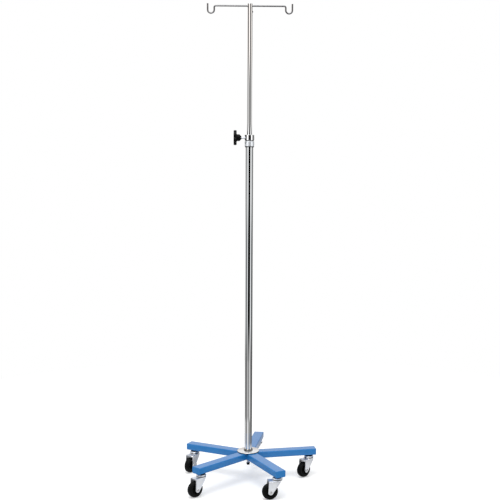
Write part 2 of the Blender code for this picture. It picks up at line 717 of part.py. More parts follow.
clear_scene()
parts = add_collection(PARTS)
cutters = add_collection(CUTTERS)
blue = finish("blue_paint", (0.10, 0.27, 0.62), 0.35, 0.0)
chrome = finish("chrome_plate", (0.78, 0.78, 0.79), 0.10, 1.0)
zinc = finish("zinc_plate", (0.72, 0.74, 0.76), 0.32, 1.0)
steel = finish("plain_steel", (0.55, 0.55, 0.56), 0.40, 1.0)
rubber = finish("black_rubber", (0.02, 0.02, 0.02), 0.55, 0.0)
black = finish("black_plastic", (0.025, 0.025, 0.028), 0.40, 0.0)
nylon = finish("white_nylon", (0.80, 0.80, 0.77), 0.50, 0.0)

make_casters(make_leg_mesh(), make_cap_mesh(), make_fork_mesh())
make_foot()
make_lower_pole()
make_clamp()
make_upper_pole()
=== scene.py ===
import json
from math import acos, atan2, cos, hypot, pi, radians, sin, sqrt, tan

import bmesh
import bpy
from mathutils import Matrix, Vector


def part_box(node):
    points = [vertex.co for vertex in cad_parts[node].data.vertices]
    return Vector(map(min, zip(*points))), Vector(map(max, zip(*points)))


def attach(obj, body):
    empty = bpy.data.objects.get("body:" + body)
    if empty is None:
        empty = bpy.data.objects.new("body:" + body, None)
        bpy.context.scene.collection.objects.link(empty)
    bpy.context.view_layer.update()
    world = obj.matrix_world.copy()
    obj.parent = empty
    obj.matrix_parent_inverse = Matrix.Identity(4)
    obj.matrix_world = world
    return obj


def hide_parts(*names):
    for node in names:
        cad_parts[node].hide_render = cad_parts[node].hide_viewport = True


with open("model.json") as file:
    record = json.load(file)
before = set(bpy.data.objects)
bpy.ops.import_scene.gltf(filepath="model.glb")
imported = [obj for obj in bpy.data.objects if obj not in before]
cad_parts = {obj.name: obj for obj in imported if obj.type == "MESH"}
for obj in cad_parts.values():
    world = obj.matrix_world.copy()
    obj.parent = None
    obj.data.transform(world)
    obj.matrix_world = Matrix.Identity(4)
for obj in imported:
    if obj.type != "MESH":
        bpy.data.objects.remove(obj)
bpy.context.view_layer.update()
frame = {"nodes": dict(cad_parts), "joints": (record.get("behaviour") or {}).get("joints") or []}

scene = bpy.context.scene
joints = {joint["name"]: joint for joint in frame["joints"]}
standNumbers = range(1, 6)

# small steps, gaps and edge radii that many pieces share
hair = 0.0001
thin = 0.0002
crisp = 0.0003
fine = 0.0004
soft = 0.0006
blunt = 0.0008
full = 0.001


# Reading places from the frame

upright = Matrix.Identity(4)


def pointsOf(node, matrix=upright):
    back = matrix.inverted()
    return [back @ vertex.co for vertex in frame["nodes"][node].data.vertices]


def cornersOf(node, matrix=upright):
    # lowest and highest corner of a node as seen in another frame
    points = pointsOf(node, matrix)
    low = Vector([min(point[axis] for point in points) for axis in range(3)])
    high = Vector([max(point[axis] for point in points) for axis in range(3)])
    return low, high


def reachOf(node, matrix=upright):
    # farthest a node goes from the upright axis of a frame
    return max(point.xy.length for point in pointsOf(node, matrix))


def spanOf(node, matrix=upright):
    # lowest and highest level of a node, and its reach
    low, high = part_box(node) if matrix is upright else cornersOf(node, matrix)
    return low.z, high.z, reachOf(node, matrix)


def headingOf(vector):
    return atan2(vector.y, vector.x)


def jointPlace(name):
    return Vector(joints[name]["pos_m"])


def legFrame(number):
    return Matrix.Rotation(headingOf(jointPlace(f"caster_swivel_{number}")), 4, "Z")


def stemFrame(number):
    swivel = jointPlace(f"caster_swivel_{number}")
    return Matrix.Translation((swivel.x, swivel.y, 0))


def casterFrame(number):
    trail = jointPlace(f"wheel_roll_{number}") - jointPlace(f"caster_swivel_{number}")
    return stemFrame(number) @ Matrix.Rotation(headingOf(trail), 4, "Z")


# Nodes, for finishes and for shapes

def socketName(label):
    # ringRadius stands for a socket called Ring Radius
    spaced = "".join(" " + letter if letter.isupper() else letter for letter in label)
    return spaced[0].upper() + spaced[1:]


def feed(socket, value):
    # takes a plain value, an output, or a node for its first output
    if isinstance(value, bpy.types.Node):
        value = value.outputs[0]
    if isinstance(value, bpy.types.NodeSocket):
        socket.id_data.links.new(value, socket)
    else:
        socket.default_value = value


def addNode(tree, kind, mode=None, **values):
    # a short kind gets the prefix of the tree's own kind
    node = tree.nodes.new(kind if "Node" in kind else tree.bl_idname.removesuffix("Tree") + kind)
    if mode:
        node.mode = mode
    for label, value in values.items():
        feed(node.inputs[socketName(label)], value)
    return node


def sums(operation, first, *others):
    node = addNode(first.id_data, "ShaderNodeMath")
    node.operation = operation
    for socket, value in zip(node.inputs, (first, *others)):
        feed(socket, value)
    return node.outputs[0]


def ramp(source, stops):
    made = addNode(source.id_data, "ValToRGB", fac=source)
    elements = made.color_ramp.elements
    while len(elements) < len(stops):
        elements.new(0.5)
    for element, (position, colour) in zip(elements, stops):
        element.position = position
        element.color = (*colour, 1.0)
    return made.outputs["Color"]


# Finishes

even = (1, 1, 1)


def pattern(tree, kind, scale, stretch=even, detail=3.0):
    # a texture on Object coordinates, in metres
    coords = addNode(tree, "TexCoord")
    place = addNode(tree, "Mapping", vector=coords.outputs["Object"], scale=stretch)
    texture = addNode(tree, "Tex" + kind, vector=place, scale=scale, detail=detail)
    return texture.outputs["Distance" if kind == "Voronoi" else "Fac"]


def makeFinish(name, roughness, metallic, tint=None, gloss=None, relief=None, constants=None):
    # colour, roughness and relief each follow a pattern, given first, between the values after it
    finish = bpy.data.materials.new(name)
    finish.use_nodes = True
    tree = finish.node_tree
    sockets = tree.nodes["Principled BSDF"].inputs
    sockets["Roughness"].default_value = roughness
    sockets["Metallic"].default_value = metallic
    for label, value in (constants or {}).items():
        sockets[label].default_value = value
    kinds = dict.fromkeys(use[0] for use in (tint, gloss, relief) if use)
    drawn = {kind: pattern(tree, *kind) for kind in kinds}
    if tint:
        feed(sockets["Base Color"], ramp(drawn[tint[0]], tint[1:]))
    if gloss:
        kind, low, high = gloss
        feed(sockets["Roughness"], addNode(tree, "MapRange", value=drawn[kind], toMin=low, toMax=high))
    if relief:
        kind, depth = relief
        feed(sockets["Normal"], addNode(tree, "Bump", height=drawn[kind], distance=depth))
    return finish


finishes = {
    "blue_paint": makeFinish(
        "blue gloss paint", 0.3, 0.0,
        tint=(("Noise", 26.0), (0.25, (0.01, 0.163, 0.456)), (0.75, (0.018, 0.188, 0.502))),
        gloss=(("Noise", 620.0, even, 2.0), 0.24, 0.36), relief=(("Noise", 620.0, even, 2.0), 0.00012),
        constants={"IOR": 1.36, "Coat Weight": 0.55, "Coat Roughness": 0.1, "Coat IOR": 1.4}),
    "chrome_plate": makeFinish(
        "polished chrome", 0.07, 1.0,
        gloss=(("Noise", 14.0), 0.015, 0.05), relief=(("Noise", 900.0, (1, 1, 0.02)), 0.000004),
        constants={"Base Color": (0.8, 0.805, 0.81, 1.0)}),
    "satin": makeFinish(
        "satin chrome", 0.16, 0.66,
        tint=(("Noise", 40.0), (0.3, (0.87, 0.915, 0.965)), (0.7, (0.92, 0.95, 0.985))),
        gloss=(("Noise", 40.0), 0.1, 0.16), relief=(("Noise", 1400.0, (0.03, 0.03, 1)), 0.000006)),
    # dark steel whose colour is painted reflection and painted shade, darker than bright steel would be;
    # used for the foot ring, the sleeve's lip and the hook rod
    "drawn": makeFinish(
        "steel darkened for painted reflection", 0.16, 1.0,
        tint=(("Noise", 55.0), (0.3, (0.16, 0.158, 0.165)), (0.7, (0.21, 0.208, 0.21))),
        gloss=(("Noise", 55.0), 0.1, 0.22), relief=(("Noise", 1600.0), 0.000008)),
    # blackened steel; on the sleeve's neck it is also painted shade in the groove
    "blackened": makeFinish(
        "blackened steel", 0.42, 1.0,
        tint=(("Noise", 900.0), (0.3, (0.02, 0.02, 0.022)), (0.7, (0.05, 0.05, 0.052))),
        gloss=(("Noise", 900.0), 0.34, 0.5)),
    "zinc_plate": makeFinish(
        "bright zinc plate", 0.32, 0.9,
        tint=(("Noise", 70.0), (0.3, (0.83, 0.86, 0.91)), (0.55, (0.89, 0.91, 0.95)),
              (0.75, (0.9, 0.91, 0.92))),
        gloss=(("Voronoi", 420.0), 0.26, 0.4), relief=(("Noise", 1300.0), 0.00003)),
    "plain_steel": makeFinish(
        "turned steel", 0.36, 1.0,
        tint=(("Noise", 110.0), (0.3, (0.46, 0.46, 0.47)), (0.7, (0.6, 0.6, 0.6))),
        gloss=(("Noise", 110.0), 0.28, 0.42), relief=(("Noise", 2200.0, (0.1, 0.1, 1)), 0.00002)),
    "black_rubber": makeFinish(
        "black tyre rubber", 0.45, 0.0,
        tint=(("Noise", 95.0, even, 6.0), (0.35, (0.0016, 0.002, 0.0022)), (0.66, (0.003, 0.0034, 0.0036)),
              (0.8, (0.011, 0.011, 0.0105))),
        gloss=(("Noise", 95.0, even, 6.0), 0.34, 0.56), relief=(("Noise", 1500.0), 0.00006),
        constants={"Specular IOR Level": 0.1}),
    "black_plastic": makeFinish(
        "black moulded plastic", 0.34, 0.0,
        tint=(("Noise", 60.0), (0.3, (0.0022, 0.0024, 0.0026)), (0.75, (0.0045, 0.0047, 0.005))),
        gloss=(("Voronoi", 1700.0), 0.26, 0.44), relief=(("Voronoi", 1700.0), 0.00005),
        constants={"Specular IOR Level": 0.1}),
    "white_nylon": makeFinish(
        "natural nylon", 0.48, 0.0,
        tint=(("Noise", 80.0), (0.3, (0.74, 0.73, 0.68)), (0.7, (0.82, 0.81, 0.77))),
        relief=(("Noise", 1100.0), 0.00003)),
}
print("finishes made:", len(finishes))


# Meshes

bevelFrom = radians(50)  # edges that turn by more than this are bevelled
filletLimit = 0.49  # share of a side that one fillet may take


def placed(name, data):
    made = bpy.data.objects.new(name, data)
    scene.collection.objects.link(made)
    return made


def convertedMesh(holder):
    bpy.context.view_layer.update()
    view = bpy.context.evaluated_depsgraph_get()
    shown = holder.evaluated_get(view)
    mesh = bpy.data.meshes.new_from_object(shown, preserve_all_data_layers=True, depsgraph=view)
    source = holder.data
    bpy.data.objects.remove(holder, do_unlink=True)
    if source.users == 0:
        bpy.data.meshes.remove(source)
    return mesh


def settled(mesh, sharpAngle=38, bevel=0.0, bevelSteps=3):
    # smooth shading that keeps flat faces flat
    mesh.shade_smooth()
    mesh.set_sharp_from_angle(angle=radians(sharpAngle))
    holder = placed("holder", mesh)
    if bevel:
        edge = holder.modifiers.new("edge", "BEVEL")
        edge.width = bevel
        edge.segments = bevelSteps
        edge.limit_method = "ANGLE"
        edge.angle_limit = bevelFrom
        edge.use_clamp_overlap = True
    holder.modifiers.new("even", "WEIGHTED_NORMAL").keep_sharp = True
    return convertedMesh(holder)


def meshOf(shape):
    mesh = bpy.data.meshes.new("shape")
    shape.to_mesh(mesh)
    shape.free()
    return mesh


def closedMesh(build):
    shape = bmesh.new()
    build(shape)
    bmesh.ops.remove_doubles(shape, verts=shape.verts, dist=1e-6)
    bmesh.ops.recalc_face_normals(shape, faces=shape.faces)
    return meshOf(shape)


def joinedMesh(*meshes):
    shape = bmesh.new()
    for mesh in meshes:
        shape.from_mesh(mesh)
    return meshOf(shape)


def moved(mesh, matrix):
    copy = mesh.copy()
    copy.transform(matrix)
    return copy


def addPiece(name, mesh, body, slot, *stoodFor, look=None):
    mesh.name = name
    mesh.materials.clear()
    mesh.materials.append(finishes[look or slot])
    piece = placed(name, mesh)
    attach(piece, body)
    if stoodFor:
        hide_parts(*stoodFor)


def filleted(corners, ring, steps=6):
    # profile corners are (radius, height, fillet)
    made = []
    count = len(corners)
    for index, (radius, height, fillet) in enumerate(corners):
        here = Vector((radius, height))
        atEnd = not ring and index in (0, count - 1)
        if fillet == 0 or atEnd:
            made.append(tuple(here))
            continue
        before = Vector(corners[index - 1][:2]) - here
        after = Vector(corners[(index + 1) % count][:2]) - here
        half = before.angle(after) / 2
        reach = min(fillet / tan(half), filletLimit * before.length, filletLimit * after.length)
        start = here + before.normalized() * reach
        middle = (before.normalized() + after.normalized()).normalized()
        centre = here + middle * (reach / cos(half))
        first = start - centre
        sweep = first.angle_signed(here + after.normalized() * reach - centre)
        for step in range(steps + 1):
            turn = Matrix.Rotation(-sweep * step / steps, 2)
            made.append(tuple(centre + turn @ first))
    return made


def cornersFrom(radius, height, edge):
    # profile corners given as (out, up, fillet) from one place
    return [(radius + out, height + up, fillet) for out, up, fillet in edge]


def ringsMesh(rows, capStart=False, capEnd=False):
    # closed loops of the same count joined one to the next
    def build(shape):
        loops = [[shape.verts.new(point) for point in row] for row in rows]
        for first, second in zip(loops, loops[1:]):
            count = len(first)
            for step in range(count):
                after = (step + 1) % count
                shape.faces.new((first[step], first[after], second[after], second[step]))
        if capStart:
            shape.faces.new(loops[0])
        if capEnd:
            shape.faces.new(loops[-1])

    return closedMesh(build)


def levelsMesh(levels, around, **caps):
    # loops round Z, each a radius and a height, as numbers or as rules by angle
    rows = []
    for radius, height in levels:
        row = []
        for step in range(around):
            angle = 2 * pi * step / around
            reach = radius(angle) if callable(radius) else radius
            lift = height(angle) if callable(height) else height
            row.append((reach * cos(angle), reach * sin(angle), lift))
        rows.append(row)
    return ringsMesh(rows, **caps)


def turned(corners, around=72):
    # corners that start on the axis make a solid, any others a ring
    ring = corners[0][0] > 0
    levels = filleted(corners, ring)
    if ring:
        levels.append(levels[0])
    return settled(levelsMesh(levels, around))


# Geometry Nodes

def newTree(name, **sockets):
    # every tree also takes a mesh and a material
    tree = bpy.data.node_groups.new(name, "GeometryNodeTree")
    inputs = {"geometry": "Geometry", **sockets, "material": "Material"}
    for label, kind in inputs.items():
        tree.interface.new_socket(socketName(label), in_out="INPUT", socket_type="NodeSocket" + kind)
    tree.interface.new_socket("Geometry", in_out="OUTPUT", socket_type="NodeSocketGeometry")
    return tree, tree.nodes.new("NodeGroupInput").outputs


def endTree(tree, given, last):
    real = addNode(tree, "RealizeInstances", geometry=last)
    painted = addNode(tree, "SetMaterial", geometry=real, material=given["Material"])
    feed(tree.nodes.new("NodeGroupOutput").inputs[0], painted)
    return tree


def sweptTree(tree, given, curve, sides, radius, **scale):
    # a bar along a curve
    circle = addNode(tree, "CurvePrimitiveCircle", resolution=sides, radius=radius)
    swept = addNode(tree, "CurveToMesh", curve=curve, profileCurve=circle, fillCaps=True, **scale)
    return endTree(tree, given, swept)


def ringTree(tree, given, part, **turn):
    # copies of a part round a circle
    circle = addNode(tree, "MeshCircle", vertices=given["Count"], radius=given["Ring Radius"])
    ring = addNode(tree, "InstanceOnPoints", points=circle, instance=part, **turn)
    return endTree(tree, given, addNode(tree, "Transform", geometry=ring, translation=given["Height"]))


def makeThreadTree():
    tree, given = newTree("thread", turns="Float", radius="Float", height="Float", depth="Float")
    spiral = addNode(
        tree, "CurveSpiral", resolution=40, rotations=given["Turns"], height=given["Height"],
        startRadius=given["Radius"], endRadius=given["Radius"])
    curve = addNode(tree, "SetCurveNormal", "Z_UP", curve=spiral)
    return sweptTree(tree, given, curve, sides=4, radius=given["Depth"])


def makeBallTree():
    tree, given = newTree("ball ring", count="Int", ringRadius="Float", ballRadius="Float", height="Vector")
    ball = addNode(tree, "MeshUVSphere", segments=14, rings=8, radius=given["Ball Radius"])
    return ringTree(tree, given, ball)


def makeRibTree():
    tree, given = newTree("rib ring", count="Int", ringRadius="Float", ribSize="Vector", height="Vector")
    outward = addNode(tree, "FunctionNodeAlignRotationToVector", vector=addNode(tree, "InputPosition"))
    outward.axis = "X"
    return ringTree(tree, given, addNode(tree, "MeshCube", size=given["Rib Size"]), rotation=outward)


def makeWeldTree():
    tree, given = newTree("weld bead", rippleLength="Float", beadRadius="Float", ripple="Float")
    line = addNode(tree, "MeshToCurve", mesh=given["Geometry"])
    dots = addNode(tree, "ResampleCurve", "LENGTH", curve=line, length=given["Ripple Length"])
    swing = sums("PINGPONG", addNode(tree, "InputIndex").outputs[0], 1.0)
    swell = sums("MULTIPLY_ADD", swing, given["Ripple"], given["Bead Radius"])
    return sweptTree(tree, given, dots, sides=14, radius=1.0, scale=swell)


def makeRodTree():
    tree, given = newTree("bent rod", rodRadius="Float", bendSteps="Int")
    line = addNode(tree, "MeshToCurve", mesh=given["Geometry"])
    bend = addNode(tree, "InputNamedAttribute", name="bend")
    rounded = addNode(
        tree, "FilletCurve", "POLY", curve=line, radius=bend, count=given["Bend Steps"], limitRadius=True)
    return sweptTree(tree, given, rounded, sides=28, radius=given["Rod Radius"])


def grownMesh(tree, look, source=None, **values):
    # runs a tree and turns its result into a plain mesh
    holder = placed(tree.name, source or bpy.data.meshes.new(tree.name))
    step = holder.modifiers.new(tree.name, "NODES")
    step.node_group = tree
    wanted = {socketName(label): value for label, value in values.items()}
    wanted["Material"] = finishes[look]
    for item in tree.interface.items_tree:
        if item.in_out == "INPUT" and item.name in wanted:
            step[item.identifier] = wanted[item.name]
    return convertedMesh(holder)


def lineMesh(lines, bends=None):
    # separate open lines of points, with a bend radius for each point if given
    mesh = bpy.data.meshes.new("lines")
    edges = []
    start = 0
    for line in lines:
        edges += [(start + step, start + step + 1) for step in range(len(line) - 1)]
        start += len(line)
    mesh.from_pydata([point for line in lines for point in line], edges, [])
    if bends:
        mesh.attributes.new("bend", "FLOAT", "POINT").data.foreach_set("value", bends)
    return mesh


threadTree = makeThreadTree()
ballTree = makeBallTree()
ribTree = makeRibTree()
weldTree = makeWeldTree()
rodTree = makeRodTree()
print("node trees made")


# Screws and nuts

threadDepth = 0.42  # as a share of the pitch
hexShape = {"around": 72, "face": 0.97, "cut": 0.1}  # round end face and least chamfer, as shares


def studMesh(radius, pitch, low, high, tipEdge, threadLow, threadHigh):
    # a rod with a thread standing round it
    core = radius - pitch / 2
    rod = turned([(0, high, 0), (core, high, tipEdge), (core, low, blunt), (0, low, 0)], around=48)
    depth = threadDepth * pitch
    length = threadHigh - threadLow
    thread = grownMesh(
        threadTree, "zinc_plate", turns=length / pitch, radius=radius - depth, height=length, depth=depth)
    thread.transform(Matrix.Translation((0, 0, threadLow)))
    return joinedMesh(rod, settled(thread, sharpAngle=20))


def hexEdge(half, angle):
    # how far out a hexagon's side lies at an angle
    return half / cos((angle + pi / 6) % (pi / 3) - pi / 6)


def hexMesh(flats, low, high, bore, chamfer):
    # hexagon with both ends chamfered round, and a bore
    half = flats / 2
    face = half * hexShape["face"]
    tip = half / cos(pi / 6)

    def side(angle):
        return hexEdge(half, angle)

    def drop(angle):
        return hexShape["cut"] * chamfer + chamfer * max(0.0, side(angle) - half) / (tip - half)

    levels = [(bore, low), (face, low), (side, lambda angle: low + drop(angle)),
              (side, lambda angle: high - drop(angle)), (face, high), (bore, high)]
    return settled(levelsMesh(levels + levels[:1], hexShape["around"]), sharpAngle=30)


# Legs and hub

legShape = {"corner": 0.0032, "cornerSteps": 6, "flatSteps": 5, "gap": 0.0003, "straight": 0.06,
            "capEdge": 0.0011, "capSteps": 4, "deeper": 0.004}  # what the solids' legs lack in depth
mitre = pi / len(standNumbers)


def roundedSection(width, low, high, corner):
    # right half then left half of a rounded rectangle, as (across, up), starting at the top middle
    steps = legShape["cornerSteps"]
    flatSteps = legShape["flatSteps"]
    quarter = [pi / 2 * step / steps for step in range(steps + 1)]
    flat = width / 2 - corner
    top = [(flat * step / flatSteps, high) for step in range(flatSteps)]
    top += [(flat + corner * sin(a), high - corner + corner * cos(a)) for a in quarter]
    bottom = [(across, low + high - up) for across, up in reversed(top)]
    right = top + bottom
    left = [(-across, up) for across, up in reversed(right)][1:-1]
    return right + left


def fillRoot(mesh, section):
    # walls between the top and the bottom of the mitred root
    shape = bmesh.new()
    shape.from_mesh(mesh)
    shape.verts.ensure_lookup_table()
    count = len(section)
    root = [shape.verts[index] for index in range(count)]
    half = count // 2
    pairs = [(root[index], root[half - index]) for index in range(half // 2 + 1)]
    pairs += [(root[-index % count], root[(half + index) % count]) for index in range(1, half // 2 + 1)]
    order = sorted(pairs, key=lambda pair: pair[0].co.y)
    for (top, bottom), (nextTop, nextBottom) in zip(order, order[1:]):
        loop = list(dict.fromkeys((top, nextTop, nextBottom, bottom)))
        if len(loop) > 2 and shape.faces.get(loop) is None:
            shape.faces.new(loop)
    bmesh.ops.recalc_face_normals(shape, faces=shape.faces)
    shape.to_mesh(mesh)
    shape.free()


def makeLegs(corner, gap, straight, capEdge, capSteps, deeper, **others):
    hubRadius = reachOf("base_hub")

    def rootOf(across):
        mitred = (abs(across) + gap / 2) / tan(mitre)
        hollow = sqrt(max(0.0, (hubRadius + gap) ** 2 - across ** 2))
        return max(mitred, hollow)

    for number in standNumbers:
        matrix = legFrame(number)
        low, high = cornersOf(f"leg_{number}", matrix)
        low.z -= deeper
        width = high.y - low.y
        section = roundedSection(width, low.z, high.z, corner)
        rows = [[(rootOf(y), y, z) for y, z in section]]
        rows += [[(x, y, z) for y, z in section] for x in (straight, high.x)]
        bar = ringsMesh(rows, capEnd=True)
        fillRoot(bar, section)
        bar = moved(settled(bar, sharpAngle=40), matrix)
        addPiece(f"legBar_{number}", bar, "base", "blue_paint", f"leg_{number}")

        capEnd = cornersOf(f"leg_end_cap_{number}", matrix)[1].x
        inset = roundedSection(width - 2 * capEdge, low.z + capEdge, high.z - capEdge, corner - capEdge)
        plate = [[(high.x + gap, y, z) for y, z in section]]
        for step in range(capSteps + 1):
            angle = pi / 2 * step / capSteps
            share = 1 - cos(angle)
            x = capEnd - capEdge + capEdge * sin(angle)
            plate.append([(x, y + (inY - y) * share, z + (inZ - z) * share)
                          for (y, z), (inY, inZ) in zip(section, inset)])
        cap = settled(ringsMesh(plate, capStart=True, capEnd=True), sharpAngle=40)
        addPiece(f"legCap_{number}", moved(cap, matrix), "base", "blue_paint", f"leg_end_cap_{number}")


weldShape = {"bead": 0.001, "ripple": 0.0002, "rippleLength": 0.0011, "sink": 0.3}


def makeHub(gap, corner, deeper, **others):
    low, high, radius = spanOf("base_hub")
    bore = reachOf("tie_stud") + gap
    hub = [(bore, high, crisp), (radius, high, blunt), (radius, low, blunt), (bore, low, crisp)]
    addPiece("hubCore", turned(hub), "base", "blue_paint", "base_hub")

    legLow, legHigh = cornersOf("leg_1", legFrame(1))
    legLow.z -= deeper
    crotch = (legHigh.y - legLow.y) / 2 / sin(mitre)
    bead = weldShape["bead"]
    sunk = crotch - weldShape["sink"] * bead
    seams = []
    for number in standNumbers:
        turn = legFrame(number) @ Matrix.Rotation(mitre, 4, "Z")
        under = ((radius, 0, legLow.z), (crotch - corner, 0, legLow.z))
        rising = ((sunk, 0, legLow.z + bead), (sunk, 0, legHigh.z - bead))
        seams += [[turn @ Vector(point) for point in line] for line in (under, rising)]
    beads = grownMesh(
        weldTree, "blue_paint", lineMesh(seams), rippleLength=weldShape["rippleLength"], beadRadius=bead,
        ripple=-weldShape["ripple"])
    addPiece("hubWelds", settled(beads, sharpAngle=60), "base", "blue_paint")


makeLegs(**legShape)
makeHub(**legShape)
print("legs and hub made")


# Casters, built once at the swivel axis with the trail along X
# brim, topEdge and footEdge hold profile corners, as (out, up, fillet) from one place

casterGap = 0.0003  # between pieces that turn on each other
raceShape = {"crown": 0.0022, "lift": 0.0012, "cup": 0.0045}  # heights of the races and of the slit

casterOne = casterFrame(1)
forkHigh = cornersOf("caster_fork_1", casterOne)[1]
stemLow = cornersOf("caster_stem_1", casterOne)[0].z
tyreHigh = cornersOf("wheel_tyre_1", casterOne)[1]
socketLow = cornersOf("caster_socket_1", casterOne)[0].z
legUnder = cornersOf("leg_1", legFrame(1))[0].z - legShape["deeper"]
axlePoint = casterOne.inverted() @ jointPlace("wheel_roll_1")
sealTop = socketLow - casterGap
crownTop = forkHigh.z - raceShape["crown"]
cupUnder = forkHigh.z + casterGap + raceShape["lift"]
cupTop = cupUnder + raceShape["cup"]
forkOuter = forkHigh.y

forkShape = {"sheet": 0.0025, "bend": 0.0045, "edge": 0.0006, "plateEnd": 0.009, "frontAhead": 0.007,
             "backBehind": 0.01, "rimWidth": 0.0034, "rimHeight": 0.0006,
             "endTurns": range(10, 91, 8), "plateSteps": 16, "bendSteps": 7, "topShares": (0.66, 0.33),
             "columns": 30}


def plateEdges(sheet, plateEnd, frontAhead, backBehind, **others):
    # back and front edge of a fork plate at any height: two lines tangent to the round end
    centre = Vector((axlePoint.x, axlePoint.z))

    def edge(corner, side):
        away = corner - centre
        turn = headingOf(away) + side * acos(plateEnd / away.length)
        touch = centre + plateEnd * Vector((cos(turn), sin(turn)))

        def at(height):
            if height >= touch.y:
                return touch.x + (corner.x - touch.x) * (height - touch.y) / (corner.y - touch.y)
            return centre.x - side * sqrt(max(0.0, plateEnd ** 2 - (height - centre.y) ** 2))
        return at

    back = edge(Vector((-backBehind, crownTop - sheet)), 1)
    front = edge(Vector((axlePoint.x + frontAhead, crownTop)), -1)
    return back, front


def forkRows(sheet, bend, plateEnd, endTurns, plateSteps, bendSteps, topShares, **others):
    # the bent strip from one plate's end to the other's: height, middle of the sheet, way out, share of rim
    midY = forkOuter - sheet / 2
    midBend = bend - sheet / 2
    bendZ = crownTop - sheet / 2 - midBend
    topZ = bendZ + midBend
    heights = [axlePoint.z - plateEnd * cos(radians(turn)) for turn in endTurns]
    heights += [axlePoint.z + (bendZ - axlePoint.z) * step / plateSteps for step in range(1, plateSteps + 1)]
    half = [(height, Vector((0, midY, height)), Vector((0, 1, 0)), 1.0) for height in heights]
    for step in range(1, bendSteps + 1):
        turn = pi / 2 * step / bendSteps
        way = Vector((0, cos(turn), sin(turn)))
        height = bendZ + midBend * sin(turn)
        point = Vector((0, midY - midBend + midBend * way.y, height))
        half.append((height, point, way, 1 - step / bendSteps))
    up = Vector((0, 0, 1))
    half += [(topZ, Vector((0, (midY - midBend) * share, topZ)), up, 0.0) for share in topShares]
    mirror = [(height, Vector((0, -point.y, point.z)), Vector((0, -way.y, way.z)), rim)
              for height, point, way, rim in reversed(half)]
    return half + [(topZ, Vector((0, 0, topZ)), up, 0.0)] + mirror


def forkMesh(sheet, edge, plateEnd, rimWidth, rimHeight, columns, **others):
    back, front = plateEdges(**forkShape)

    def rimRise(x, height, low, high):
        slope = min(x - low, high - x)
        if height < axlePoint.z:
            slope = min(slope, plateEnd - hypot(x - axlePoint.x, height - axlePoint.z))
        share = max(0.0, min(1.0, slope / rimWidth))
        return rimHeight * (0.5 + 0.5 * cos(pi * share))

    def build(shape):
        outer, inner = [], []
        for height, point, way, rim in forkRows(**forkShape):
            low, high = back(height), front(height)
            outerRow, innerRow = [], []
            for column in range(columns + 1):
                share = 0.5 - 0.5 * cos(pi * column / columns)
                x = low + (high - low) * share
                rise = rim * rimRise(x, height, low, high)
                place = Vector((x, 0, 0)) + point
                outerRow.append(shape.verts.new(place + way * (sheet / 2 - rimHeight + rise)))
                innerRow.append(shape.verts.new(place - way * sheet / 2))
            outer.append(outerRow)
            inner.append(innerRow)
        strips = list(zip(outer, outer[1:])) + list(zip(inner, inner[1:]))
        strips += [(outer[end], inner[end]) for end in (0, -1)]
        strips += [([row[end] for row in outer], [row[end] for row in inner]) for end in (0, -1)]
        for first, second in strips:
            for step in range(len(first) - 1):
                shape.faces.new((first[step], first[step + 1], second[step + 1], second[step]))

    return settled(closedMesh(build), sharpAngle=45, bevel=edge)


def onAxle(mesh):
    # turned pieces lie along the axle
    place = Matrix.Translation((axlePoint.x, 0, axlePoint.z))
    return moved(mesh, place @ Matrix.Rotation(pi / 2, 4, "X"))


def mirroredProfile(half):
    return half + [(radius, -height, fillet) for radius, height, fillet in reversed(half)]


axleShape = {"shaft": 0.004, "washer": 0.00625, "washerHeight": 0.0008, "flats": 0.009, "nutHeight": 0.0016,
             "boltEnd": 0.0026, "tipEdge": 0.0005, "head": 0.0052, "headRound": 0.0048, "headFlat": 0.0024}


def boltMesh(shaft, washerHeight, flats, nutHeight, boltEnd, tipEdge, head, headRound, headFlat, **others):
    outer = forkOuter + washerHeight
    nutTop = outer + nutHeight
    tip = nutTop + fine
    sunk = outer - thin
    bolt = turned([
        (0, tip, 0), (boltEnd, tip, tipEdge), (boltEnd, sunk, 0), (shaft, sunk, 0), (shaft, -outer, 0),
        (0, -outer, 0)], around=32)
    nut = hexMesh(flats, outer, nutTop, boltEnd - thin, soft)
    dome = turned([
        (0, -nutTop - crisp, 0), (headFlat, -nutTop - crisp, soft), (headRound, -nutTop + fine, blunt),
        (head, -outer, 0), (0, -outer, 0)], around=40)
    return onAxle(joinedMesh(bolt, nut, dome))


def washersMesh(shaft, washer, washerHeight, **others):
    made = []
    for side in (1, -1):
        outer = side * (forkOuter + washerHeight)
        inner = side * forkOuter
        made.append(turned(
            [(shaft, outer, 0), (washer, outer, crisp), (washer, inner, 0), (shaft, inner, 0)], around=40))
    return onAxle(joinedMesh(*made))


wheelShape = {"bore": 0.0043, "hub": 0.0085, "hubEdge": 0.0009, "hubGap": 0.0005, "web": 0.0035,
              "webRound": 0.0016, "rimInner": 0.018, "rimOuter": 0.0215, "rimHalf": 0.009,
              "ribs": 8, "ribWidth": 0.0018, "ribHalf": 0.0062, "ribSink": 0.001}


def coreMesh(bore, hub, hubEdge, hubGap, web, webRound, rimInner, rimOuter, rimHalf, ribs, ribWidth, ribHalf,
             ribSink):
    hubHalf = forkOuter - forkShape["sheet"] - hubGap
    core = turned(mirroredProfile([
        (bore, hubHalf, crisp), (hub, hubHalf, hubEdge), (hub, web, webRound), (rimInner, web, webRound),
        (rimInner, rimHalf, soft), (rimOuter, rimHalf, 0)]))
    spokes = grownMesh(
        ribTree, "black_plastic", count=ribs, ringRadius=(rimInner + hub) / 2, height=(0, 0, 0),
        ribSize=(rimInner - hub + ribSink, ribWidth, 2 * ribHalf))
    return onAxle(joinedMesh(core, settled(spokes, sharpAngle=40, bevel=fine, bevelSteps=2)))


# the side band's four corners are measured out from the rim
tyreShape = {"sideStep": 0.0007, "band": (0.0008, 0.0022, 0.004, 0.0046), "shoulder": 0.0016,
             "shoulderFall": 0.001, "shoulderRound": 0.0022, "treadHalf": 0.0048, "treadRound": 0.006}


